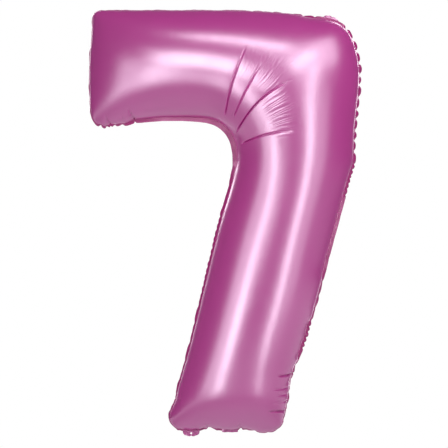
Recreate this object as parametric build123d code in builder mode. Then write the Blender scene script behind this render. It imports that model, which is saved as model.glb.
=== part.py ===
"""Foil number balloon, the figure 7, about 86 cm tall when blown up.

Two films are welded round their edge and blown up into a bent tube.  The figure stands in the XZ
plane with +Z up.  Its front faces -Y, its back faces +Y, and the weld lies in the plane Y = 0.
All sizes are in millimetres.  The origin is the centre of the punched hole that it hangs from.
"""
from build123d import *
from math import cos, pi, radians, sin, sqrt
import os

os.makedirs("parts", exist_ok=True)

# The envelope
WALL = 0.8  # panel and weld thickness, which stands in for film 0.04 thick
SEAM = 8  # width of the welded margin
LAP = 1.6  # how far the margin reaches in under the rim of each panel
END_LENGTH = 75  # how far in from each free end the tube is at its full depth
END_CORNER = 20  # corner radius of the two free ends

# The folds, which are left open a little so that a flat piece can turn on its own edge
FOLD_GAP = 0.5

# The tabs for string and ribbon
TAB_WIDTH = 34
TAB_HEIGHT = 9.5
TAB_CORNER = 8
HOLE_RADIUS = 2
HOLE_HEIGHT = 5  # of the hole's centre over the fold

# The filling tail, folded back under the foot of the leg
TAIL_X = 11  # of the middle of the tail, from the middle of the figure
TAIL_LENGTH = 60
TAIL_WIDTH = 32
TAIL_CORNER = 4
TAIL_FILM = 0.5
TAIL_LEAN = 75  # degrees from straight up, towards the back
TAIL_GAP = 1.6
SIDE_WELD = 4
INLET_RADIUS = 4
INLET_FROM_FOLD = 40

# The valve, two thin films that lie flat against each other
VALVE_WIDTH = 22
VALVE_FILM = 0.3
VALVE_SPLIT = 0.1  # between the two films
CHANNEL = 0.8  # room between the outer films, where the valve passes
LEAF_LENGTH = 100
SLEEVE_PAST_TAIL = 8
VALVE_WELD = 3

# Each tab's fold: its middle (x, z), measured from the middle of the figure, and its angle from
# +X in degrees, with the outside of the figure on its left
TAB_FOLDS = {
    "hang_tab_top": (213.2, 403.3, -20),
    "hang_tab_bottom": (-67, -420.4, 180),
}

# The hole that the balloon hangs from, measured from the middle of the figure
TOP_X, TOP_Z, TOP_ANGLE = TAB_FOLDS["hang_tab_top"]
HANG_X = TOP_X - HOLE_HEIGHT * sin(radians(TOP_ANGLE))
HANG_Z = TOP_Z + HOLE_HEIGHT * cos(radians(TOP_ANGLE))

# Stations along the tube, evenly spaced, from the free end of the arm, round the corner, to the
# foot of the leg: a point on the outer edge (x, z), a point on the inner edge (x, z) and half the
# depth.  They are measured from the middle of the figure, on the inner line of the weld.
STATIONS = [
    ((-263, 419), (-263, 200), 86),
    ((-188, 419), (-188, 206), 86),
    ((-110, 419), (-122, 211), 88),
    ((-32, 419), (-62, 210), 89),
    ((52, 418), (-24, 204), 91),
    ((143, 411), (0, 190), 94),
    ((234, 392), (15, 170), 96),
    ((266, 318), (22, 146), 95),
    ((260, 212), (24, 122), 93),
    ((247, 118), (21, 96), 91),
    ((228, 34), (12, 58), 90),
    ((206, -48), (-5, 0), 90),
    ((184, -130), (-24, -79), 90),
    ((161, -212), (-44, -164), 90),
    ((142, -282), (-65, -252), 89),
    ((126, -338), (-88, -338), 86),
    ((108, -413), (-101, -413), 84),
]
LAST = len(STATIONS) - 1
FOOT_Z = STATIONS[-1][0][1]
ROWS_AT_END = 6
ROWS_BETWEEN = 2
COLUMNS = 16


def place(x, z, y=0):
    """A point given from the middle of the figure, in the frame of the hang hole."""
    return Vector(x - HANG_X, y, z - HANG_Z)


OUTER_EDGE = [place(*outer) for outer, inner, depth in STATIONS]
INNER_EDGE = [place(*inner) for outer, inner, depth in STATIONS]
HALF_DEPTH = [depth for outer, inner, depth in STATIONS]


def between(values, station):
    """The value at a station that may lie between two listed ones, on a smooth curve."""
    k = min(int(station), LAST - 1)
    t = station - k
    b, c = values[k], values[k + 1]
    a = values[k - 1] if k > 0 else b * 2 - c
    d = values[k + 2] if k + 2 <= LAST else c * 2 - b
    bend = a * 2 - b * 5 + c * 4 - d
    twist = b * 3 - a - c * 3 + d
    return b + ((c - a) * t + bend * t**2 + twist * t**3) / 2


def row_stations():
    """Where the rows of the dome lie: close together at the ends, where it drops to the weld."""
    at_end = [1 - cos(pi / 2 * i / ROWS_AT_END) for i in range(ROWS_AT_END)]
    middle = [1 + i / ROWS_BETWEEN for i in range((LAST - 2) * ROWS_BETWEEN + 1)]
    return at_end + middle + [LAST - station for station in reversed(at_end)]


def dome_row(station):
    """Half an ellipse over the weld, from the outer edge to the inner edge, on the front side."""
    outer, inner = between(OUTER_EDGE, station), between(INNER_EDGE, station)
    depth = between(HALF_DEPTH, station)
    from_end = min(station, LAST - station) * END_LENGTH
    short = 0
    if from_end < END_LENGTH:
        depth *= sqrt(1 - (1 - from_end / END_LENGTH) ** 2)
    if from_end < END_CORNER:
        short = END_CORNER - sqrt(END_CORNER**2 - (END_CORNER - from_end) ** 2)
    middle = (outer + inner) / 2 + Vector(0, -WALL / 2, 0)
    half = (outer - inner) / 2
    half = half.normalized() * (half.length - short)
    angles = [pi * j / COLUMNS for j in range(COLUMNS + 1)]
    return [middle + half * cos(a) + Vector(0, -depth * sin(a), 0) for a in angles]


dome_rows = [dome_row(station) for station in row_stations()]


def inside(rows):
    """The same rows moved inwards by the wall.  The rim's rows move in the plane of the weld."""
    last_row, last_column = len(rows) - 1, len(rows[0]) - 1
    moved = []
    for k, row in enumerate(rows):
        moved.append([])
        for j, point in enumerate(row):
            near_k = min(max(k, 1), last_row - 1)
            near_j = min(max(j, 1), last_column - 1)
            along = rows[near_k + 1][near_j] - rows[near_k - 1][near_j]
            across = rows[near_k][near_j + 1] - rows[near_k][near_j - 1]
            inwards = along.cross(across).normalized()
            if (near_k, near_j) != (k, j):
                inwards = Vector(inwards.X, 0, inwards.Z).normalized()
            moved[-1].append(point + inwards * WALL)
    return moved


def dome(rows):
    """The smooth face through the rows."""
    return Face.make_surface_from_array_of_points(rows, tol=0.2, min_deg=3, max_deg=3)


def bulk(face):
    """The solid under a dome face, closed by a flat base."""
    return Solid(Shell([face, Face(Wire(face.edges()))]))


def rim_points(side, moved):
    """The rim on one side (0 outer, -1 inner), moved outwards in the plane of the weld."""
    middle = [(row[0] + row[-1]) / 2 for row in dome_rows]
    points = []
    for k, row in enumerate(dome_rows):
        if k == 0:
            outwards = middle[0] - middle[1]
        elif k == len(dome_rows) - 1:
            outwards = middle[-1] - middle[-2]
        else:
            along = dome_rows[k + 1][side] - dome_rows[k - 1][side]
            outwards = along.cross(Vector(0, 1, 0))
            if outwards.dot(row[side] - middle[k]) < 0:
                outwards = outwards * -1
        point = row[side] + outwards.normalized() * moved
        points.append((point.X, point.Z))
    return points


def outline(moved):
    """The tube's outline in the plane of the weld, moved outwards."""
    with BuildSketch() as face:
        with BuildLine():
            outer = Spline(*rim_points(0, moved))
            inner = Spline(*rim_points(-1, moved))
            Line(outer @ 0, inner @ 0)
            Line(outer @ 1, inner @ 1)
        make_face()
    return face.sketch


def tab_plane(x, z, angle):
    """The plane of a tab: x along its fold, y outwards, facing the front."""
    along = Vector(cos(radians(angle)), 0, sin(radians(angle)))
    return Plane(origin=place(x, z), x_dir=along, z_dir=(0, -1, 0))


def make_tab(plane):
    """A rounded lobe of welded film with a punched hole."""
    with BuildPart() as tab:
        with BuildSketch(plane) as lobe:
            with Locations((0, TAB_HEIGHT / 2)):
                Rectangle(TAB_WIDTH, TAB_HEIGHT)
            fillet(lobe.vertices().sort_by(Axis.Y)[-2:], radius=TAB_CORNER)
            with Locations((0, HOLE_HEIGHT)):
                Circle(HOLE_RADIUS, mode=Mode.SUBTRACT)
        extrude(amount=WALL / 2, both=True)
    return tab


def tail_outline():
    """The outline of one tail film, square at the fold and rounded at the open end."""
    with BuildSketch() as face:
        with Locations((0, TAIL_LENGTH / 2)):
            Rectangle(TAIL_WIDTH, TAIL_LENGTH)
        fillet(face.vertices().sort_by(Axis.Y)[-2:], radius=TAIL_CORNER)
    return face.sketch


def flat_tube(plane, start, length):
    """Two thin films welded along their sides, from start, in the middle of a plane."""
    thickness = 2 * VALVE_FILM + VALVE_SPLIT
    with BuildPart() as tube:
        with BuildSketch(plane):
            with Locations((0, start + length / 2)):
                Rectangle(VALVE_WIDTH, length)
        extrude(amount=thickness / 2, both=True)
        with BuildSketch(plane):
            with Locations((0, start + length / 2)):
                Rectangle(VALVE_WIDTH - 2 * VALVE_WELD, length + SEAM)
        extrude(amount=VALVE_SPLIT / 2, both=True, mode=Mode.SUBTRACT)
    return tube


def finish(piece, name):
    """Names a finished piece and writes it."""
    piece.part.label = name
    export_step(piece.part, f"parts/{name}.step")


# Front panel: a domed film, hollow, with its rim on the front of the welded margin
outside_face = dome(dome_rows)
inside_face = dome(inside(dome_rows))
with BuildPart() as front_panel:
    add(bulk(outside_face))
    add(bulk(inside_face), mode=Mode.SUBTRACT)
finish(front_panel, "front_panel")

# Back panel: the same film turned over
with BuildPart() as back_panel:
    add(mirror(front_panel.part, about=Plane.XZ))
finish(back_panel, "back_panel")

# Welded margin: a flat ring outside the rims, with a thicker neck where the valve passes, and
# with a straight place cut for each tab
TABS = {name: tab_plane(*fold) for name, fold in TAB_FOLDS.items()}
NECK_EDGE = place(TAIL_X, FOOT_Z - SEAM)
NECK_HEIGHT = 7.4  # of the thick part of the neck, which ends below the panels' rims
PASSAGE_WIDTH = VALVE_WIDTH + 2 * FOLD_GAP

with BuildPart() as perimeter_seal:
    with BuildSketch(Plane.XZ):
        add(outline(SEAM))
        add(outline(-LAP), mode=Mode.SUBTRACT)
    extrude(amount=WALL / 2, both=True)
    for plane in TABS.values():
        with BuildSketch(plane):
            with Locations((0, TAB_HEIGHT / 2 - FOLD_GAP)):
                Rectangle(TAB_WIDTH + 2 * FOLD_GAP, TAB_HEIGHT)
        extrude(amount=WALL, both=True, mode=Mode.SUBTRACT)
    with Locations(NECK_EDGE):
        Box(PASSAGE_WIDTH, 2 * WALL, 4 * SEAM, mode=Mode.SUBTRACT)
    for side in (-1, 1):
        with Locations(NECK_EDGE + Vector(0, side * (CHANNEL + TAIL_FILM) / 2, 0)):
            align = (Align.CENTER, Align.CENTER, Align.MIN)
            Box(TAIL_WIDTH, TAIL_FILM, NECK_HEIGHT, align=align)
finish(perimeter_seal, "perimeter_seal")


for name, plane in TABS.items():
    finish(make_tab(plane), name)

# Filling tail: two films welded along their sides, folded up behind the foot of the leg.  Its
# plane has x along the fold, y from the fold to the open end and z towards the back film.
lean = radians(TAIL_LEAN)
tail_plane = Plane(
    origin=NECK_EDGE + Vector(0, 0, -TAIL_GAP),
    x_dir=(1, 0, 0),
    z_dir=(0, -cos(lean), sin(lean)),
)


with BuildPart() as tail_front_film:
    with BuildSketch(tail_plane.offset(-CHANNEL / 2)):
        add(tail_outline())
        with Locations((0, INLET_FROM_FOLD)):
            Circle(INLET_RADIUS, mode=Mode.SUBTRACT)
    extrude(amount=-TAIL_FILM)
finish(tail_front_film, "tail_front_film")

with BuildPart() as tail_back_film:
    with BuildSketch(tail_plane.offset(-CHANNEL / 2)):
        add(tail_outline())
    extrude(amount=CHANNEL + TAIL_FILM)
    with BuildSketch(tail_plane.offset(-CHANNEL / 2)):
        with Locations((0, TAIL_LENGTH / 2)):
            Rectangle(TAIL_WIDTH - 2 * SIDE_WELD, TAIL_LENGTH + SEAM)
    extrude(amount=CHANNEL, mode=Mode.SUBTRACT)
finish(tail_back_film, "tail_back_film")


# Valve sleeve: the part of the valve inside the tail, open at its end and under the inlet
with BuildPart() as valve_sleeve:
    add(flat_tube(tail_plane, FOLD_GAP, TAIL_LENGTH + SLEEVE_PAST_TAIL).part)
    with BuildSketch(tail_plane):
        with Locations((0, INLET_FROM_FOLD)):
            Circle(INLET_RADIUS + FOLD_GAP)
    extrude(amount=-CHANNEL, mode=Mode.SUBTRACT)
finish(valve_sleeve, "valve_sleeve")

# Valve throat: the part welded into the neck of the margin
throat_plane = Plane(origin=NECK_EDGE, x_dir=(1, 0, 0), z_dir=(0, -1, 0))
valve_throat = flat_tube(throat_plane, 0, SEAM + LAP)
finish(valve_throat, "valve_throat")

# Valve leaves: the two free films inside the leg, which the gas presses shut
LEAF_ROOT = NECK_EDGE + Vector(0, 0, SEAM + LAP + FOLD_GAP)
for name, side in (("valve_front_leaf", -1), ("valve_back_leaf", 1)):
    with BuildPart() as leaf:
        with Locations(LEAF_ROOT + Vector(0, side * (VALVE_FILM + VALVE_SPLIT) / 2, 0)):
            align = (Align.CENTER, Align.CENTER, Align.MIN)
            Box(VALVE_WIDTH, VALVE_FILM, LEAF_LENGTH, align=align)
    finish(leaf, name)
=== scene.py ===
"""Looks of the foil number balloon 7: two film panels blown up inside their weld, with the weld's
margin, hang tabs and filling tail. Lengths in this script are in millimetres from the middle of the
figure, X to the right, Y to the back and Z up, and place() turns them into the frame's metres."""

import bpy
import numpy as np
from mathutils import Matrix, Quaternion, Vector


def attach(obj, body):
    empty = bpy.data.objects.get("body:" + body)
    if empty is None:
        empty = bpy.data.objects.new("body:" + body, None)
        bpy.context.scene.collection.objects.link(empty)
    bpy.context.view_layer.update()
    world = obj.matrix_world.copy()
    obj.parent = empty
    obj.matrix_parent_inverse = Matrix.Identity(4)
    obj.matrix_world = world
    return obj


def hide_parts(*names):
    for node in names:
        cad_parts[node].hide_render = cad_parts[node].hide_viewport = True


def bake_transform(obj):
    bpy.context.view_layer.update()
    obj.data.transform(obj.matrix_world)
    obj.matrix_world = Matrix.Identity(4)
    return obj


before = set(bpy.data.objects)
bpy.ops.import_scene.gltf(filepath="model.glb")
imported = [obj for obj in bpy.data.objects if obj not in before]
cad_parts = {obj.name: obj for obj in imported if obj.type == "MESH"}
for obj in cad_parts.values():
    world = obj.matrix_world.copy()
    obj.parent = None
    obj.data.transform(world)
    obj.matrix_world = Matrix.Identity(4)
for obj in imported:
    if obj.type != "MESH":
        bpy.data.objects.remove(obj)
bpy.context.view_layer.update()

MIDDLE = np.array([-0.21491, 0.0, -0.40800])  # the figure's middle, from the hang hole, in metres

# Edge of the chamber at stations along the figure: outer x, z and inner x, z
STATIONS = np.array(
    [
        (-263, 419, -263, 200),
        (-188, 419, -188, 206),
        (-110, 419, -122, 211),
        (-32, 419, -62, 210),
        (52, 418, -24, 204),
        (143, 411, 0, 190),
        (234, 392, 15, 170),
        (266, 318, 22, 146),
        (260, 212, 24, 122),
        (247, 118, 21, 96),
        (228, 34, 12, 58),
        (206, -48, -5, 0),
        (184, -130, -24, -79),
        (161, -212, -44, -164),
        (142, -282, -65, -252),
        (126, -338, -88, -338),
        (108, -413, -101, -413),
    ],
    float,
)
ROUNDNESS = 0.862  # depth of the tube against its width
START_SLACK, START_SLACK_LENGTH = 0.26, 230  # share of depth the arm loses towards its end
FOOT_FULLNESS, FOOT_FULL_AT, FOOT_FULL_REACH = 0.07, 55, 42  # the foot is blown up a little more
START_SWELL, START_TUCK = 2.5, 5  # the arm's end bows out, and is drawn in at its top
END_LENGTH, END_ROWS = 75, 58  # length over which an end closes, and its rows
ROW_PITCH = 2.5
ELBOW, ELBOW_REACH, ELBOW_DENSITY = 5.9, 1.7, 2  # stations where the rows are closer, and by how much
FOOT_SIDE, FOOT_SIDE_REACH, FOOT_SIDE_DENSITY = 14.6, 0.5, 0.6
COLUMNS = 120
MOST_STEPS, SMALLEST_LEFT = 2500, 1e-4  # where the film's solution stops
SEAM = 8.0  # width of the welded margin
CORNER_ROUND = (16, 30, 20, 26)  # arm end's outer and inner corner, foot's outer and inner corner
TAB_TOP = (213.2, 403.3, -20)  # middle of the fold x, z, and its angle, outside on the left
TAB_BOTTOM = (-67, -420.4, 180)
TAB_WIDTH, TAB_HEIGHT, TAB_CORNER = 34, 9.5, 8
HOLE_RADIUS, HOLE_HEIGHT = 2, 5
LAP = 1.6  # how far a tab's film reaches back over the margin
MARGIN_PITCH = 1.6  # of the margin's mesh along the seam
MARGIN_STEPS = 8  # and the rows of cells across it

# The filling tail, folded up behind the foot
TAIL_X, TAIL_FOLD_Z, TAIL_LEAN = 11, -422.6, 75
FOLD_BOW = 3.4  # how much earlier the tail folds at its sides
NECK = 9.6  # from the chamber down to the fold
TAIL_LENGTH, TAIL_WIDTH, TAIL_CORNER, SIDE_WELD = 60, 32, 4, 4
TAIL_PAST = 68  # where the valve's sleeve ends, past the tail
VALVE_WIDTH, INLET, INLET_RADIUS = 22, 40, 4

# How far the margin is folded to the back along each edge: station or x, degrees. It lies flat
# where a tab or the tail is.
OUTER_FOLD = [
    (0, 80), (5.1, 78), (5.5, 0), (6.02, 0), (6.2, 46), (8.9, 48), (9.1, 30), (9.8, 24), (10.1, 14),
    (11.5, 20), (11.8, 62), (12.7, 62), (12.9, 22), (13.7, 25), (13.9, 70), (16, 78),
]
INNER_FOLD = [(0, 62), (0.9, 50), (1.3, 12), (2, 0), (8, 0), (9, 36), (11, 46), (13, 60), (16, 78)]
START_FOLD = [(0, 80), (1000, 80)]
FOOT_FOLD = [
    (-110, 80), (-94, 72), (-87, 0), (-47, 0), (-38, 72), (-15, 72), (-7, 0), (29, 0), (37, 72),
    (110, 80),
]
CONCAVE_EXTRA = 3.0  # the margin shows this much wider round the inside corner

# Each edge is drawn in and let out along its way: station, outwards
OUTER_WAVE = [
    (5.2, 0), (5.5, 3.5), (6.02, 3.5), (6.3, 1), (8.2, 1.5), (8.6, 4), (9, 9), (9.3, 6), (9.8, 4),
    (10.5, 3.5), (13.2, 4), (13.7, 1), (14.2, -5), (14.6, -5), (15.1, -1), (15.6, 0),
]
INNER_WAVE = [
    (0, 2), (0.16, 4), (0.24, 2.5), (0.34, 6.5), (0.47, 3), (0.62, 4.5), (0.7, 3), (0.79, 4.5),
    (0.95, 2), (1.1, -1), (1.3, 0.5), (1.6, 0), (14.8, 0), (15.3, 1), (15.6, 8), (15.72, 7), (16, 3),
]
# The margin is narrower where a tab or the tail leaves it: station or x, narrower by
OUTER_NARROW = [(5.3, 0), (5.5, 3.5), (6.02, 3.5), (6.2, 0)]
FOOT_NARROW = [(-96, 0), (-85, 6), (-49, 6), (-40, 0), (-16, 0), (-5, 5.5), (27, 5.5), (38, 0)]
# The foot's edge between its pleats: x, up
FOOT_WAVE = [
    (-101, 0), (-85, -1), (-66, 0), (-45, 1), (-28, 5), (-8, 1), (14, 0), (45, 4), (72, -4),
    (88, -3), (108, 2),
]

# Pleats along each seam: from station, to station, pitch, depth, reach over the chamber, and how
# far they pinch the margin shut
OUTER_PLEATS = [
    (0.15, 3.9, 34, 0.3, 10, 0.1),
    (4.0, 5.4, 21, 0.9, 12, 0.5),
    (6.1, 8.9, 22, 1.1, 9, 1.0),
    (8.95, 9.8, 10, 0.7, 12, 0.6),
    (10.0, 11.6, 42, 0.4, 10, 0.1),
    (11.7, 12.8, 26, 0.7, 12, 0.4),
    (12.9, 13.7, 12, 0.9, 10, 0.6),
    (13.9, 15.8, 27, 1.6, 18, 0.5),
]
INNER_PLEATS = [
    (0.12, 0.9, 15, 1.8, 16, 0.9),
    (1.1, 3.2, 40, 0.4, 8, 0.1),
    (3.4, 7.4, 21, 0.2, 8, 0.1),
    (7.6, 10.6, 40, 0.3, 8, 0.2),
    (10.8, 12.9, 13, 0.5, 9, 0.3),
    (13.0, 15.9, 36, 0.9, 14, 0.2),
]
START_PLEATS = [(0.08, 0.92, 36, 0.5, 10, 0.3)]
FOOT_PLEATS = [(0.05, 0.95, 29, 1.2, 13, 0.6)]

# Creases, first the fan out of the inside corner, then those by the arm's end and the foot: from
# x, z, to x, z, bow, width, depth
CREASES = [
    (1, 208, 45, 349, 6, 7.0, 3.3),
    (17, 205, 76, 314, 3, 6.0, 2.0),
    (23, 178, 138, 280, 14, 8.0, 3.6),
    (33, 155, 142, 178, 6, 7.0, 2.7),
    (-221, 188, -240, 217, 3, 4.0, 1.6),
    (-205, 190, -208, 214, -2, 3.5, 0.9),
    (-173, 196, -192, 229, 2, 4.5, 1.8),
    (-31, -422, -39, -396, 0, 4.0, 1.4),
    (38, -424, 28, -394, 1, 4.0, 1.5),
    (124, -378, 84, -376, 0, 4.0, 3.0),
    (138, -303, 104, -304, 2, 4.0, 1.8),
    (134, -330, 92, -332, 1, 3.0, 0.5),
    (130, -345, 96, -346, -1, 3.0, 0.5),
    (128, -358, 90, -359, 1, 3.0, 0.4),
    (-118, -362, -80, -352, 1, 4.0, 1.0),
]
CREASE_BROAD, CREASE_SHARP, CREASE_SIGMA = 0.27, 2.0, 1.05  # shares of the two parts of its section
# Fine ripples in the fan: its centre x, z, then from and to angle, from and to radius, pitch in
# degrees, depth
FAN = (-30, 140)
RIPPLES = [(43, 72, 140, 250, 1.45, 0.15), (8, 42, 112, 205, 1.9, 0.15)]

rng = np.random.default_rng(7)


def place(points):
    """Points of the figure, in the frame's metres."""
    return np.asarray(points) * 0.001 + MIDDLE


def rails(t):
    """The chamber's outer and inner edge at station numbers t."""
    ends = [2 * STATIONS[0] - STATIONS[1]], [2 * STATIONS[-1] - STATIONS[-2]]
    points = np.vstack([ends[0], STATIONS, ends[1]])
    i = np.clip(t.astype(int), 0, len(STATIONS) - 2)
    f = (t - i)[:, None]
    a, b, c, d = points[i], points[i + 1], points[i + 2], points[i + 3]
    p = b + 0.5 * f * (c - a + f * (2 * a - 5 * b + 4 * c - d + f * (3 * (b - c) + d - a)))
    return p[:, :2], p[:, 2:]


def lengths(points, axis=0):
    """Length along a line of points, from its start."""
    steps = np.linalg.norm(np.diff(points, axis=axis), axis=-1)
    return np.concatenate([np.zeros_like(np.take(steps, [0], axis)), np.cumsum(steps, axis)], axis)


def row_stations():
    """Station number of each row, close together where an end closes."""
    fine = np.linspace(0, len(STATIONS) - 1, 3201)
    outer, inner = rails(fine)
    along = lengths((outer + inner) / 2)
    closing = END_LENGTH * (1 - np.cos(np.linspace(0, np.pi / 2, END_ROWS)))[:-1]
    # closer rows round the elbow and by the foot's side, where the creases are
    bend = 1 + ELBOW_DENSITY * np.exp(-(((fine - ELBOW) / ELBOW_REACH) ** 4))
    bend = bend + FOOT_SIDE_DENSITY * np.exp(-(((fine - FOOT_SIDE) / FOOT_SIDE_REACH) ** 4))
    dense = np.concatenate([[0], np.cumsum(np.diff(along) * bend[1:])])
    near, far = np.interp([END_LENGTH, along[-1] - END_LENGTH], along, dense)
    middle = np.interp(np.linspace(near, far, int((far - near) / ROW_PITCH)), dense, along)
    rows = np.concatenate([closing, middle, along[-1] - closing[::-1]])
    return np.interp(rows, along, fine)


def pull(grid):
    """Cotangent weights of a grid's edges, across, along and diagonal, and each point's area."""
    p00, p10, p11, p01 = grid[:-1, :-1], grid[1:, :-1], grid[1:, 1:], grid[:-1, 1:]

    def cot(a, b, c):
        u, v = b - a, c - a
        area = np.abs(u[..., 0] * v[..., 1] - u[..., 1] * v[..., 0])
        return (u * v).sum(-1) / np.maximum(area, 1e-9), area / 2

    rows, columns = grid.shape[:2]
    across, along = np.zeros((rows, columns - 1)), np.zeros((rows - 1, columns))
    area = np.zeros((rows, columns))
    c0, a1 = cot(p00, p10, p11)
    c1, _ = cot(p10, p11, p00)
    c2, _ = cot(p11, p00, p10)
    across[1:] += c0 / 2
    along[:, :-1] += c2 / 2
    d0, a2 = cot(p00, p11, p01)
    d1, _ = cot(p11, p01, p00)
    d2, _ = cot(p01, p00, p11)
    along[:, 1:] += d0 / 2
    across[:-1] += d1 / 2
    slant = c1 / 2 + d2 / 2
    for part, share in (
        (area[:-1, :-1], a1 + a2),
        (area[1:, 1:], a1 + a2),
        (area[1:, :-1], a1),
        (area[:-1, 1:], a2),
    ):
        part += share / 3
    return across, along, slant, area


def bulge(grid):
    """How far the film stands off the seam's plane: a soap film's height over the outline gives the
    shape, and its root gives a tube its round section."""
    across, along, slant, area = pull(grid)

    def spread(u):
        out = np.zeros_like(u)
        for w, near, far in (
            (across, np.s_[:, :-1], np.s_[:, 1:]),
            (along, np.s_[:-1, :], np.s_[1:, :]),
            (slant, np.s_[:-1, :-1], np.s_[1:, 1:]),
        ):
            flow = w * (u[near] - u[far])
            out[near] += flow
            out[far] -= flow
        out[0], out[-1], out[:, 0], out[:, -1] = 0, 0, 0, 0
        return out

    weight = np.zeros_like(area)
    for w, near, far in (
        (across, np.s_[:, :-1], np.s_[:, 1:]),
        (along, np.s_[:-1, :], np.s_[1:, :]),
        (slant, np.s_[:-1, :-1], np.s_[1:, 1:]),
    ):
        weight[near] += w
        weight[far] += w
    inside = np.zeros_like(area)
    inside[1:-1, 1:-1] = 1
    half = np.linalg.norm(grid[:, 0] - grid[:, -1], axis=-1)[:, None] / 2
    turn = np.linspace(0, np.pi, grid.shape[1])[None]
    u = (half * np.sin(turn)) ** 2 / 2 * inside
    left = (area - spread(u)) * inside
    guess = left / weight * inside
    step, size = guess.copy(), (left * guess).sum()
    for _ in range(MOST_STEPS):
        change = spread(step)
        amount = size / (step * change).sum()
        u += amount * step
        left -= amount * change
        if np.abs(left).max() < SMALLEST_LEFT:
            break
        guess = left / weight * inside
        fresh = (left * guess).sum()
        step, size = guess + fresh / size * step, fresh
    return ROUNDNESS * np.sqrt(2 * np.maximum(u, 0))


def unit(v):
    return v / np.maximum(np.linalg.norm(v, axis=-1, keepdims=True), 1e-9)


def spaced(regions, place_of):
    """Pleats over regions of a seam: place, depth, width, reach on the front and the back, lean,
    and how far each pinches the margin over what length."""
    found = []
    for start, end, pitch, depth, reach, pinch in regions:
        at, stop = place_of(start), place_of(end)
        at += pitch * rng.uniform(0.1, 0.5)
        while at < stop:
            grow = rng.uniform(0.7, 1.2)
            found.append(
                (
                    at,
                    depth * grow,
                    pitch * rng.uniform(0.13, 0.2) + 1.0,
                    reach * rng.uniform(0.6, 1.7),
                    reach * rng.uniform(0.6, 1.7),
                    rng.uniform(-0.35, 0.35),
                    pinch,
                    pitch * 0.2,
                )
            )
            at += pitch * rng.uniform(0.86, 1.16)
    return found


def grooves(pleats, seam, off, back):
    """Depth of the pleats at seam places and distances off the seam."""
    total = np.zeros(np.broadcast_shapes(seam.shape, off.shape))
    for at, depth, width, front_reach, back_reach, lean, _, _ in pleats:
        reach = back_reach if back else front_reach
        spread = width * (1 + 1.1 * off / reach)
        u = (seam - at - lean * off) / spread
        shape = np.exp(-1.7 * (np.sqrt(u * u + 0.12) - 0.346))
        total += depth * shape * np.exp(-((off / reach) ** 1.5))
    return total


def pinched(pleats, seam):
    """How far the margin is pinched shut at places along a seam, from 0 to 1."""
    total = np.zeros(len(seam))
    for pleat in pleats:
        total = np.maximum(total, pleat[6] * np.exp(-np.abs((seam - pleat[0]) / pleat[7]) ** 1.5))
    return total


def sway(pleats, seam):
    """How far the seam leans forwards or backwards between pleats, from -1 to 1."""
    knots = [p[0] for p in pleats]
    side = [(-1) ** i * (0.5 + 0.5 * abs(np.sin(i * 2.4))) for i in range(len(knots))]
    mids = [(a + b) / 2 for a, b in zip(knots, knots[1:])]
    depth = [min(p[1], q[1]) for p, q in zip(pleats, pleats[1:])]
    values = [s * d for s, d in zip(side, depth)]
    x = [v for pair in zip(knots, mids) for v in pair] + knots[-1:]
    y = [v for pair in zip([0.0] * len(knots), values) for v in pair] + [0.0]
    return np.interp(seam, x, y, left=0, right=0)


def smooth(values, radius, closed=False):
    """A line of values with its short waves taken out."""
    kernel = np.exp(-0.5 * (np.arange(-3 * radius, 3 * radius + 1) / radius) ** 2)
    kernel /= kernel.sum()
    mode = "wrap" if closed else "edge"
    wide = np.pad(values, [(3 * radius, 3 * radius)] + [(0, 0)] * (values.ndim - 1), mode=mode)
    if values.ndim == 1:
        return np.convolve(wide, kernel, "valid")
    return np.stack([np.convolve(wide[:, k], kernel, "valid") for k in range(values.shape[1])], 1)


def edge_normals(edge, turn):
    """Directions in the seam's plane that point out of the chamber along one edge."""
    way = unit(np.gradient(edge, axis=0))
    return way[:, ::-1] * (-turn, turn)


def table(knots, at):
    return np.interp(at, *zip(*knots))


def rounded(flat, row, column, radius):
    """Bends the grid's corner round an arc."""
    corner = flat[row, column].copy()
    e1 = unit(flat[row, COLUMNS // 2] - corner)
    e2 = unit(flat[row + (30 if row == 0 else -30), column] - corner)
    a, b = np.moveaxis((flat - corner) @ np.linalg.inv(np.array([e1, e2])), -1, 0)
    da, db = radius - a, radius - b
    inside = (da > 0) & (db > 0)
    far = np.hypot(da, db)
    edge = np.maximum(da, db) / np.maximum(far, 1e-9)
    share = np.maximum(da, db) / radius
    scale = np.where(inside, 1 - (1 - edge) * np.clip(share, 0, 1) ** 2, 1)
    a, b = radius - da * scale, radius - db * scale
    return corner + a[..., None] * e1 + b[..., None] * e2


# The flat grid between the rails, rows along the figure and columns across it
stations = row_stations()
outer, inner = rails(stations)
outer_fold, inner_fold = table(OUTER_FOLD, stations), table(INNER_FOLD, stations)
concave = CONCAVE_EXTRA * np.exp(-(((stations - 5.2) / 2.4) ** 4))


def hidden(fold):
    """How much narrower the margin looks from the front where it is folded to the back."""
    return SEAM * (1 - np.cos(np.radians(fold)))


outer_out = hidden(outer_fold) + table(OUTER_WAVE, stations)
inner_out = hidden(inner_fold) - concave + table(INNER_WAVE, stations)
outer = outer + edge_normals(outer, 1) * outer_out[:, None]
inner = inner + edge_normals(inner, -1) * inner_out[:, None]
turn = np.linspace(0, np.pi, COLUMNS + 1)
mix = (1 + np.cos(turn)) / 2
flat = outer[:, None] * mix[None, :, None] + inner[:, None] * (1 - mix)[None, :, None]
start_fold, foot_fold = table(START_FOLD, flat[0, :, 1]), table(FOOT_FOLD, flat[-1, :, 0])
near_start = np.clip(1 - (flat[..., 0] - flat[0, 0, 0]) / 90, 0, 1) * (stations[:, None] < 3)
near_foot = np.clip(1 - (flat[..., 1] - flat[-1, 0, 1]) / 70, 0, 1) * (stations[:, None] > 13)
swell = START_SWELL * np.sin(np.pi * np.clip((flat[..., 1] - 215) / 150, 0, 1))
swell -= START_TUCK * np.clip((flat[..., 1] - 330) / 89, 0, 1)
foot_narrow = table(FOOT_NARROW, flat[-1, :, 0])
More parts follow.
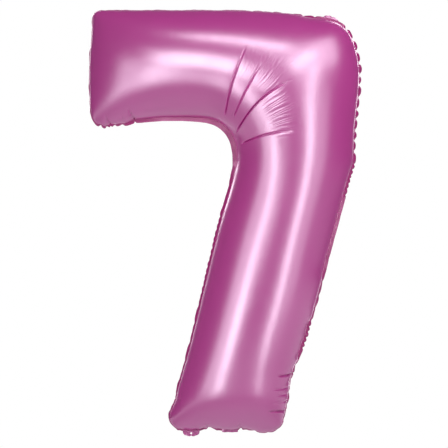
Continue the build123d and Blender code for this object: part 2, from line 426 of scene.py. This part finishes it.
flat[..., 0] -= (hidden(start_fold)[None] + swell) * near_start
foot_down = hidden(foot_fold) - table(FOOT_WAVE, flat[-1, :, 0]) + foot_narrow
flat[..., 1] -= foot_down[None] * near_foot
for (row, column), radius in zip(((0, 0), (0, -1), (-1, 0), (-1, -1)), CORNER_ROUND):
    flat = rounded(flat, row, column, radius)
outer, inner = flat[:, 0], flat[:, -1]
height = bulge(flat)
# distances from the arm's end and from the foot, far off anywhere else
from_start = (flat[..., 0] - flat[0, :, 0].min()) + 1000 * (stations[:, None] > 5)
height = height * (1 - START_SLACK * np.clip(1 - from_start / START_SLACK_LENGTH, 0, 1) ** 2)
from_foot = (flat[..., 1] - flat[-1, :, 1].min()) + 1000 * (stations[:, None] < 12)
foot_full = np.exp(-(((from_foot - FOOT_FULL_AT) / FOOT_FULL_REACH) ** 2))
height = height * (1 + FOOT_FULLNESS * foot_full)
print("half depth", height.max(), "rows", len(stations))

outer_along, inner_along = lengths(outer), lengths(inner)
start_along, foot_along = lengths(flat[0]), lengths(flat[-1])
outer_pleats = spaced(OUTER_PLEATS, lambda t: np.interp(t, stations, outer_along))
inner_pleats = spaced(INNER_PLEATS, lambda t: np.interp(t, stations, inner_along))
start_pleats = spaced(START_PLEATS, lambda t: t * start_along[-1])
foot_pleats = spaced(FOOT_PLEATS, lambda t: t * foot_along[-1])


def crease_depth(x, z):
    """Sharp folds, most of them fanned out of the inside corner, with fine ripples between those."""
    total = np.zeros_like(x)
    for x0, z0, x1, z1, bow, width, depth in CREASES:
        length = np.hypot(x1 - x0, z1 - z0)
        dx, dz = (x1 - x0) / length, (z1 - z0) / length
        along = np.clip(((x - x0) * dx + (z - z0) * dz) / length, 0, 1)
        off = (x - x0) * dz - (z - z0) * dx + bow * 4 * along * (1 - along)
        fade = np.clip(along / 0.08, 0, 1) * np.clip((1 - along) / 0.4, 0, 1)
        fade = fade * fade * (3 - 2 * fade)
        broad = np.exp(-np.abs(off) / (width * (1.15 - 0.5 * along)))
        sharp = np.exp(-((off / CREASE_SIGMA) ** 2))
        total += depth * fade * (CREASE_BROAD * broad + CREASE_SHARP * sharp)
    angle = np.degrees(np.arctan2(z - FAN[1], x - FAN[0]))
    radius = np.hypot(z - FAN[1], x - FAN[0])
    for low, high, near, far, pitch, depth in RIPPLES:
        spot = np.clip((angle - low) / 3, 0, 1) * np.clip((high - angle) / 3, 0, 1)
        spot = spot * np.sin(np.pi * np.clip((radius - near) / (far - near), 0, 1)) ** 1.5
        wobble = 0.35 * np.sin(angle * 0.9) + 0.25 * np.sin(radius / 13)
        total += depth * spot * np.sin(2 * np.pi * (angle / pitch + wobble))
    return total


def round_edge(grid):
    """The four edges of a grid, in order round the seam, each up to the next one's start."""
    return grid[:-1, 0], grid[-1, :-1], grid[:0:-1, -1], grid[0, :0:-1]


def round_edge_normals():
    """Directions that point out of the chamber, for the same four edges."""
    loop = np.vstack(round_edge(flat))
    way = unit(np.roll(loop, -1, 0) - np.roll(loop, 1, 0))
    out = unit(smooth(way[:, ::-1] * (-1, 1), 2, True))
    return np.split(out, np.cumsum([len(e) for e in round_edge(flat)])[:-1])


def panel(side):
    """Film of one side, front -1 or back 1, as a grid of points, and how far each is off a seam."""
    grid = np.dstack([flat[..., 0], side * height, flat[..., 1]])
    along = np.gradient(grid, axis=0)
    across = np.gradient(grid, axis=1)
    normal = unit(np.cross(along, across))
    if (normal[len(grid) // 2, COLUMNS // 2, 1] < 0) != (side < 0):
        normal = -normal
    # on the seam itself the film stands straight out of it
    for part, out in zip(round_edge(normal), round_edge_normals()):
        part[:] = np.insert(out, 1, 0, axis=1)
    from_outer = lengths(grid, 1)
    from_inner = from_outer[:, -1:] - from_outer
    from_start = lengths(grid, 0)
    from_foot = from_start[-1:] - from_start
    back = side > 0
    depth = grooves(outer_pleats, outer_along[:, None], from_outer, back)
    depth += grooves(inner_pleats, inner_along[:, None], from_inner, back)
    depth += grooves(start_pleats, start_along[None], from_start, back)
    depth += grooves(foot_pleats, foot_along[None], from_foot, back)
    off = np.minimum(np.minimum(from_outer, from_inner), np.minimum(from_start, from_foot))
    depth += crease_depth(flat[..., 0], flat[..., 1]) * (1 - 0.3 * back * (1 - np.exp(-off / 20)))
    grid = grid - normal * depth[..., None]
    lean = 0.9 * sway(outer_pleats, outer_along)[:, None] * np.exp(-from_outer / 14)
    lean = lean + 0.9 * sway(inner_pleats, inner_along)[:, None] * np.exp(-from_inner / 14)
    lean = lean + 0.9 * sway(start_pleats, start_along)[None] * np.exp(-from_start / 14)
    lean = lean + 0.9 * sway(foot_pleats, foot_along)[None] * np.exp(-from_foot / 14)
    grid[..., 1] += lean
    return grid, off


def film(name, grid, uv, flip=False, closed=False, cut=None):
    """A mesh of quads through a grid of points, with its UV map, and without the cells in cut."""
    rows, columns = grid.shape[:2]
    index = np.arange(rows * columns).reshape(rows, columns)
    if closed:
        index = np.vstack([index, index[:1]])
    quads = np.stack([index[:-1, :-1], index[1:, :-1], index[1:, 1:], index[:-1, 1:]], -1)
    quads = quads.reshape(-1, 4) if cut is None else quads[~cut]
    if flip:
        quads = quads[:, ::-1]
    mesh = bpy.data.meshes.new(name)
    used, quads = np.unique(quads, return_inverse=True)
    quads = quads.reshape(-1, 4)
    points = place(grid.reshape(-1, 3)[used])
    mesh.vertices.add(len(points))
    mesh.vertices.foreach_set("co", points.ravel())
    mesh.loops.add(quads.size)
    mesh.loops.foreach_set("vertex_index", quads.ravel())
    mesh.polygons.add(len(quads))
    mesh.polygons.foreach_set("loop_start", np.arange(0, quads.size, 4))
    mesh.polygons.foreach_set("use_smooth", np.ones(len(quads), bool))
    mesh.update(calc_edges=True)
    layer = mesh.uv_layers.new(name="film")
    layer.data.foreach_set("uv", uv.reshape(-1, 2)[used][quads.ravel()].ravel())
    mesh.validate()
    thing = bpy.data.objects.new(name, mesh)
    bpy.context.scene.collection.objects.link(thing)
    return thing


def margin():
    """The welded margin outside the chamber: folded to the back in places, and rippled where the
    seam is puckered."""
    front, _ = panel(-1)
    loop, outward = np.vstack(round_edge(front)), np.vstack(round_edge_normals())
    ripple = np.concatenate(
        [
            sway(outer_pleats, outer_along)[:-1],
            sway(foot_pleats, foot_along)[:-1],
            sway(inner_pleats, inner_along)[:0:-1],
            sway(start_pleats, start_along)[:0:-1],
        ]
    )
    fold = np.concatenate([outer_fold[:-1], foot_fold[:-1], inner_fold[:0:-1], start_fold[:0:-1]])
    pinch = np.concatenate(
        [
            pinched(outer_pleats, outer_along)[:-1],
            pinched(foot_pleats, foot_along)[:-1],
            pinched(inner_pleats, inner_along)[:0:-1],
            pinched(start_pleats, start_along)[:0:-1],
        ]
    )
    outer_narrow = table(OUTER_NARROW, stations)
    extra = [-outer_narrow[:-1], -foot_narrow[:-1], concave[:0:-1], np.zeros(COLUMNS)]
    wide = SEAM + np.concatenate(extra)
    around = lengths(np.vstack([loop, loop[:1]]))
    count = int(around[-1] / MARGIN_PITCH)
    at = np.linspace(0, around[-1], count, endpoint=False)

    def along(values):
        values = values.reshape(len(values), -1)
        values = np.vstack([values, values[:1]])
        return np.stack([np.interp(at, around, v) for v in values.T], 1)

    base, out = along(loop), unit(smooth(along(outward), 2, True))
    ripple = smooth(along(ripple)[:, 0], 1, True)
    fold = smooth(along(fold)[:, 0], 3, True)
    pinch = along(pinch)[:, 0] * np.clip(fold / 20, 0, 1)
    wide = smooth(along(wide)[:, 0], 5, True)
    fine = 1.5 * np.sin(at / 2.9 + 2 * np.sin(at / 37)) + 3 * np.sin(at / 11.7 + np.sin(at / 53))
    fine = (7 * ripple + fine) * (0.15 + 0.85 * np.clip(fold / 40, 0, 1))
    angle = np.radians(np.clip(fold + (86 - fold) * pinch + fine, -30, 88))
    steps = np.linspace(0, 1, MARGIN_STEPS + 1)
    grid = np.zeros((count, len(steps), 3))
    grid[:, 0] = base
    for k in range(1, len(steps)):
        bent = angle * min(1, steps[k] / 0.3)
        step = wide * (steps[k] - steps[k - 1])
        grid[:, k, 0] = grid[:, k - 1, 0] + out[:, 0] * step * np.cos(bent)
        grid[:, k, 2] = grid[:, k - 1, 2] + out[:, 1] * step * np.cos(bent)
        grid[:, k, 1] = grid[:, k - 1, 1] + step * np.sin(bent)
    uv = np.dstack(np.broadcast_arrays(at[:, None] * 0.01, steps[None] * 0.08))
    return film("weld_margin", grid, uv, closed=True)


def mesh_uv(grid, off):
    """UV places from the way along the film and off its seam, in centimetres."""
    return np.dstack([lengths(grid, 0) * 0.01, off * 0.01])


def lobe_reach(turn):
    """How far it is from a tab's hole to the tab's edge, in each direction."""
    half = TAB_WIDTH / 2
    bend = np.linspace(0, np.pi / 2, 24)
    corner = np.stack([TAB_CORNER * np.cos(bend), TAB_CORNER * np.sin(bend)], 1)
    corner += (half - TAB_CORNER, TAB_HEIGHT - TAB_CORNER)
    base = np.stack([np.linspace(0, half, 40), np.full(40, -LAP)], 1)
    right = np.vstack([base, corner, (0, TAB_HEIGHT)]) - (0, HOLE_HEIGHT)
    edge = np.vstack([right, right[::-1] * (-1, 1)])
    heading = np.mod(np.arctan2(edge[:, 1], edge[:, 0]), 2 * np.pi)
    order = np.argsort(heading)
    reach = np.hypot(edge[:, 0], edge[:, 1])
    return np.interp(turn, heading[order], reach[order], period=2 * np.pi)


def tab(name, fold, phase):
    """A lobe of welded film, drawn as rings from its punched hole to its edge."""
    x, z, angle = fold
    turn = np.linspace(0, 2 * np.pi, 180, endpoint=False)[:, None]
    ring = np.linspace(0, 1, 18)[None]
    reach = HOLE_RADIUS + (lobe_reach(turn[:, 0])[:, None] - HOLE_RADIUS) * ring**1.2
    u, v = reach * np.cos(turn), HOLE_HEIGHT + reach * np.sin(turn)
    free = np.clip((v + LAP) / (TAB_HEIGHT + LAP), 0, 1)
    out = 1.7 * free**2 * np.sin(u / 9.5 + phase) + 0.5 * free * np.sin(u / 2.6 + v / 5 + 2 * phase)
    out += 0.14 * np.sin(9 * turn + phase) * np.exp(-(reach - HOLE_RADIUS) / 1.6) - 0.2
    out -= 0.25 * np.exp(-(((reach - HOLE_RADIUS) / 0.5) ** 2))
    c, d = np.cos(np.radians(angle)), np.sin(np.radians(angle))
    grid = np.dstack([x + u * c - v * d, out, z + u * d + v * c])
    uv = np.dstack([u * 0.01, v * 0.01])
    return film(name, grid, uv, closed=True)


def tail_line(along):
    """Down the neck, round the fold and along the tail: places (y, z) and the front film's side."""
    fine = np.arange(-NECK, TAIL_PAST + FOLD_BOW + 0.1, 0.1)
    bend = np.clip((fine + 2.2) / 4.4, 0, 1)
    way = np.radians(180 - (180 - TAIL_LEAN) * bend * bend * (3 - 2 * bend))
    line = np.cumsum(np.stack([np.sin(way), np.cos(way)], 1) * 0.1, 0) + (0, TAIL_FOLD_Z + NECK)
    front = np.stack([np.cos(way), -np.sin(way)], 1)
    return [
        np.stack([np.interp(along, fine, column) for column in part.T], -1) for part in (line, front)
    ]


def tail_wave(along, across):
    """Soft crinkles of the tail, the same in all its films."""
    fade = np.clip(along / 12, 0, 1)
    wave = 0.7 * np.sin(along / 6.3 + 1.2 * np.sin(across / 7))
    wave = wave + 0.45 * np.sin(along / 2.9 - across / 8)
    wave = wave + 0.02 * across * np.sin(along / 19)
    return fade * wave + 0.25 * np.sin(across / 2.3) * (1 - fade)


def tail_points(along, across, out):
    """Points of the tail's films, from their place in the flat film and their height over it."""
    line, front = tail_line(along + FOLD_BOW * (2 * across / TAIL_WIDTH) ** 4)
    out = out + tail_wave(along, across)
    y, z = line[..., 0] + front[..., 0] * out, line[..., 1] + front[..., 1] * out
    return np.dstack([TAIL_X + across, y, z])


def punch(along, across, radius):
    """Moves a grid's points on to the inlet's edge, and marks the cells inside it."""
    far = np.hypot(along - INLET, across)
    near = np.abs(far - radius) < 0.45
    scale = np.where(near, radius / np.maximum(far, 0.1), 1)
    along, across = INLET + (along - INLET) * scale, across * scale
    middle = (far[:-1, :-1] + far[1:, 1:] + far[1:, :-1] + far[:-1, 1:]) / 4
    return along, across, middle < radius


def tail_film(name, side):
    """One outer film of the tail, welded to the other along its sides."""
    along = np.arange(-NECK, TAIL_LENGTH + 0.01, 0.6)
    cut = np.clip(along - TAIL_LENGTH + TAIL_CORNER, 0, TAIL_CORNER)
    half = TAIL_WIDTH / 2 - TAIL_CORNER + np.sqrt(TAIL_CORNER**2 - cut**2)
    across = half[:, None] * np.linspace(-1, 1, 57)[None]
    along = np.broadcast_to(along[:, None], across.shape)
    gone = None
    if side > 0:
        along, across, gone = punch(along, across, INLET_RADIUS)
    weld = np.clip((TAIL_WIDTH / 2 - np.abs(across)) / SIDE_WELD, 0, 1)
    apart = 0.14 + 0.52 * weld * weld * (3 - 2 * weld)
    lips = 0.5 * weld * np.clip((along - TAIL_LENGTH + 6) / 6, 0, 1) ** 2
    grid = tail_points(along, across, side * (apart + lips))
    return film(name, grid, np.dstack([along * 0.01, across * 0.01]), flip=side < 0, cut=gone)


def sleeve():
    """The end of the valve, a flat tube of two thin films inside the tail."""
    along = np.arange(0.6, TAIL_PAST, 0.6)[:, None]
    turn = np.linspace(0, 2 * np.pi, 73)[None]
    flare = 0.24 + 0.9 * np.clip((along - TAIL_LENGTH) / 8, 0, 1) ** 2
    across = VALVE_WIDTH / 2 * np.cos(turn) * np.ones_like(along)
    out = flare * np.sin(turn) * np.sqrt(np.abs(np.sin(turn)))
    along = np.broadcast_to(along, out.shape)
    far = np.hypot(along - INLET, across)
    near = (far < INLET_RADIUS + 0.5) & (out > 0.05)
    gone = near[:-1, :-1] & near[1:, 1:] & near[1:, :-1] & near[:-1, 1:]
    grid = tail_points(along, across, out)
    return film("valve_sleeve_film", grid, np.dstack([along * 0.01, across * 0.01]), cut=gone)


pieces = {}
for name, side, node in (("front_film", -1, "front_panel"), ("back_film", 1, "back_panel")):
    grid, off = panel(side)
    piece = film(name, grid, mesh_uv(grid, off), flip=side < 0)
    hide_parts(node)
    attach(piece, "envelope")
    pieces[name] = piece
piece = margin()
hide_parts("perimeter_seal")
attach(piece, "envelope")
pieces["weld_margin"] = piece

for name, fold, node, body, phase in (
    ("top_tab_film", TAB_TOP, "hang_tab_top", "top_tab", 0.9),
    ("bottom_tab_film", TAB_BOTTOM, "hang_tab_bottom", "bottom_tab", 2.1),
):
    piece = tab(name, fold, phase)
    up = np.array([-np.sin(np.radians(fold[2])), 0, np.cos(np.radians(fold[2]))])
    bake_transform(piece)
    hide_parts(node)
    pieces[name] = piece

for name, side, node in (("tail_front", 1, "tail_front_film"), ("tail_back", -1, "tail_back_film")):
    piece = tail_film(name, side)
    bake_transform(piece)
    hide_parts(node)
    pieces[name] = piece
piece = sleeve()
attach(piece, "tail")
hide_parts("valve_sleeve")
pieces["valve_sleeve_film"] = piece


# Materials


class Nodes:
    """A small helper for building a material's node tree."""

    def __init__(self, name):
        self.material = bpy.data.materials.new(name)
        self.material.use_nodes = True
        self.tree = self.material.node_tree
        self.shader = self.tree.nodes["Principled BSDF"]

    def add(self, kind, links=None, **settings):
        node = self.tree.nodes.new("ShaderNode" + kind)
        for key, value in settings.items():
            setattr(node, key, value)
        for socket, value in (links or {}).items():
            self.put(node.inputs[socket], value)
        return node

    def put(self, socket, value):
        if hasattr(value, "is_output"):
            self.tree.links.new(value, socket)
        elif hasattr(value, "outputs"):
            self.tree.links.new(value.outputs[0], socket)
        else:
            socket.default_value = value

    def set(self, **values):
        for key, value in values.items():
            self.put(self.shader.inputs[key.replace("_", " ")], value)


def foil(name, colour, deep, roughness, ior, tint):
    """Satin film: a deep dyed layer under a bright pearly surface, with painted shade: its base colour is
    darker where the film faces the camera and lighter towards its edges.
    """
    n = Nodes(name)
    at = n.add("TexCoord").outputs["Object"]
    cloud = n.add("TexNoise", {"Vector": at, "Scale": 14.0, "Detail": 3.0})
    mixed = n.add("Mix", {"Factor": cloud.outputs["Fac"]}, data_type="RGBA")
    n.put(mixed.inputs[6], deep)
    n.put(mixed.inputs[7], colour)
    soft = n.add("TexNoise", {"Vector": at, "Scale": 60.0, "Detail": 2.0})
    rough = n.add(
        "MapRange",
        {"Value": soft.outputs["Fac"], "To Min": roughness - 0.03, "To Max": roughness + 0.04},
    )
    grain = n.add("TexNoise", {"Vector": at, "Scale": 900.0, "Detail": 2.0})
    bump = n.add("Bump", {"Height": grain.outputs["Fac"], "Strength": 0.04, "Distance": 0.0004})
    # painted shade: the base colour is scaled from 0.68 where the film faces the camera up to 1.12 at its
    # edges
    facing = n.add("LayerWeight", {"Blend": 0.5}).outputs["Facing"]
    painted_facing_shade = n.add("MapRange", {"Value": facing, "To Min": 0.68, "To Max": 1.12})
    base_painted_shade = n.add("VectorMath", {0: mixed.outputs[2]}, operation="SCALE")
    n.put(base_painted_shade.inputs["Scale"], painted_facing_shade)
    n.set(Base_Color=base_painted_shade, Roughness=rough, Normal=bump, Metallic=0.06, IOR=ior, Specular_Tint=(*tint, 1))
    return n.material


def milky(name):
    """Thin milky plastic film, cloudy in places and lightly crinkled."""
    n = Nodes(name)
    at = n.add("TexCoord").outputs["Object"]
    cloud = n.add("TexNoise", {"Vector": at, "Scale": 90.0, "Detail": 4.0})
    mixed = n.add("Mix", {"Factor": cloud.outputs["Fac"]}, data_type="RGBA")
    n.put(mixed.inputs[6], (0.74, 0.72, 0.76, 1))
    n.put(mixed.inputs[7], (0.88, 0.87, 0.90, 1))
    rough = n.add("MapRange", {"Value": cloud.outputs["Fac"], "To Min": 0.22, "To Max": 0.42})
    crinkle = n.add("TexNoise", {"Vector": at, "Scale": 350.0, "Detail": 3.0})
    bump = n.add("Bump", {"Height": crinkle.outputs["Fac"], "Strength": 0.25, "Distance": 0.0006})
    n.set(Base_Color=mixed.outputs[2], Roughness=rough, Normal=bump, IOR=1.5)
    n.shader.inputs["Transmission Weight"].default_value = 0.45
    return n.material


# name, two tones, roughness, IOR and the tint of the gloss
panel_foil = foil(
    "satin_pink_foil", (0.57, 0.026, 0.315, 1), (0.51, 0.021, 0.28, 1), 0.3, 3.0, (0.9, 0.88, 0.98)
)
# the margin's tones, darker than the panel's though it is the same film, are painted shade for its
# folded-back lobes
margin_foil_painted_shade = foil(
    "welded_pink_foil_painted_shade", (0.46, 0.012, 0.2, 1), (0.36, 0.008, 0.16, 1), 0.38, 2.0, (1.0, 0.7, 0.9)
)
tab_foil = foil(
    "welded_tab_foil", (0.54, 0.022, 0.29, 1), (0.47, 0.018, 0.25, 1), 0.34, 2.6, (0.95, 0.8, 0.95)
)
milky_film = milky("milky_valve_film")
for name in ("front_film", "back_film"):
    pieces[name].data.materials.append(panel_foil)
pieces["weld_margin"].data.materials.append(margin_foil_painted_shade)
for name in ("top_tab_film", "bottom_tab_film", "tail_front", "tail_back"):
    pieces[name].data.materials.append(tab_foil)
pieces["valve_sleeve_film"].data.materials.append(milky_film)
for name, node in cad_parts.items():
    stuff = milky_film if name.startswith("valve") else margin_foil_painted_shade
    for slot in node.material_slots:
        slot.material = stuff


# Studio, in metres
FLOOR_RADIUS, FLOOR_LEVEL = 5.6, -2.05
AIR_GLOW = 0.13  # of the air round the balloon, which looks white in itself
CAMERA_DISTANCE = 3.6
CAMERA_ASIDE = (-0.001, -0.004)  # from the figure's middle, x and z
VIEW_WIDTH = 0.902
SENSOR = 36


def pale():
    """Matt pale grey that glows, painted light: its emission rises from almost none near the balloon to
    bright white away from it, so the floor stays dim under the balloon.
    """
    n = Nodes("pale_floor")
    away = n.add("VectorMath", {0: n.add("TexCoord").outputs["Object"]}, operation="LENGTH")
    # painted light: the floor's glow grows with the distance from the balloon
    levels = {"From Min": 2.2, "From Max": 4.8, "To Min": 0.03, "To Max": 0.85}
    painted_glow = n.add("MapRange", {"Value": away.outputs["Value"], **levels})
    n.set(Base_Color=(0.78, 0.78, 0.78, 1), Emission_Color=(1, 1, 1, 1), Emission_Strength=painted_glow)
    n.shader.inputs["Roughness"].default_value = 0.9
    return n.material


def floor():
    """A pale round floor under the hanging balloon."""
    turn = np.linspace(0, 2 * np.pi, 97)[:-1]
    points = [(FLOOR_RADIUS * np.cos(a), FLOOR_RADIUS * np.sin(a), 0) for a in turn]
    mesh = bpy.data.meshes.new("studio_floor")
    mesh.from_pydata(points, [], [tuple(range(len(points)))])
    thing = bpy.data.objects.new("studio_floor", mesh)
    thing.location = (MIDDLE[0], 0, FLOOR_LEVEL)
    bpy.context.scene.collection.objects.link(thing)
    thing.data.materials.append(pale())


def softbox(name, spot, aim, width, tall, power, roll=0.0, spread=180.0):
    """An area light at spot that faces aim. Its power is for a quarter of a square metre, its roll
    and its beam's spread are in degrees."""
    spot, aim = Vector(spot), Vector(aim)
    data = bpy.data.lights.new(name, "AREA")
    data.shape = "RECTANGLE"
    data.size, data.size_y, data.energy = width, tall, power * width * tall * 4
    data.spread = np.radians(spread)
    lamp = bpy.data.objects.new(name, data)
    lamp.location = spot
    lamp.rotation_mode = "QUATERNION"
    turned = (aim - spot).to_track_quat("-Z", "Y")
    lamp.rotation_quaternion = turned @ Quaternion((0, 0, 1), np.radians(roll))
    lamp.visible_camera = False
    bpy.context.scene.collection.objects.link(lamp)


floor()
softbox("arm_front", (-0.72, -1.90, 0.18), (-0.30, 0.0, -0.08), 0.86, 0.78, 4.9)
softbox("leg_left", (-0.99, -1.55, -0.76), (-0.12, 0.0, -0.74), 0.34, 0.95, 1.15, spread=80)
softbox("leg_right", (0.94, -1.75, -0.78), (-0.12, 0.0, -0.66), 0.24, 1.32, 1.8, spread=90)
softbox("left_wide", (-1.5, -1.3, -0.45), (-0.12, 0.0, -0.50), 0.5, 1.2, 1.6)
softbox("right_wide", (1.5, -1.3, -0.50), (-0.12, 0.0, -0.40), 0.5, 1.4, 0.95)
softbox("turn_low", (0.98, -1.6, 0.30), (-0.12, 0.0, -0.15), 0.28, 0.95, 5.3, -18)
softbox("turn_high", (0.62, -1.45, 0.86), (-0.08, 0.0, -0.10), 0.28, 0.9, 6.4, -50)
softbox("turn_top", (0.08, -1.15, 1.11), (-0.08, 0.0, -0.10), 0.24, 0.5, 7.0, -90)
softbox("top_left", (-0.34, -1.08, 1.24), (-0.20, 0.0, -0.08), 0.26, 0.4, 6.0, -90)
softbox("turn_wide", (1.42, -1.02, 1.26), (-0.05, 0.0, -0.10), 1.2, 1.3, 1.9)
softbox("rear_left", (-1.1, 2.2, 0.6), (-0.2, 0.0, -0.4), 0.5, 1.5, 5.0)
softbox("rear_right", (0.7, 2.2, 0.6), (-0.2, 0.0, -0.4), 0.4, 1.5, 5.0)
softbox("rear_wide", (-0.2, 3.0, 0.0), (-0.2, 0.0, -0.4), 3.2, 2.4, 0.9)
softbox("rear_leg_left", (-0.8, 2.4, -0.7), (-0.15, 0.0, -0.6), 0.25, 1.1, 3.0)
softbox("rear_leg_right", (0.5, 2.4, -0.7), (-0.15, 0.0, -0.6), 0.25, 1.1, 3.0)

world = bpy.data.worlds.new("studio_air")
world.use_nodes = True
air = world.node_tree.nodes["Background"]
seen = world.node_tree.nodes.new("ShaderNodeLightPath")
level = world.node_tree.nodes.new("ShaderNodeMapRange")
level.inputs["To Min"].default_value, level.inputs["To Max"].default_value = AIR_GLOW, 1.0
world.node_tree.links.new(seen.outputs["Is Camera Ray"], level.inputs["Value"])
world.node_tree.links.new(level.outputs[0], air.inputs["Strength"])
air.inputs["Color"].default_value = (1, 1, 1, 1)
bpy.context.scene.world = world
bpy.context.scene.view_settings.view_transform = "Standard"

camera_data = bpy.data.cameras.new("camera")
camera_data.sensor_width = SENSOR
camera_data.lens = SENSOR * CAMERA_DISTANCE / VIEW_WIDTH
camera = bpy.data.objects.new("camera", camera_data)
aside, up = CAMERA_ASIDE
camera.location = (MIDDLE[0] + aside, -CAMERA_DISTANCE, MIDDLE[2] + up)
camera.rotation_euler = (np.pi / 2, 0, 0)
bpy.context.scene.collection.objects.link(camera)
bpy.context.scene.camera = camera
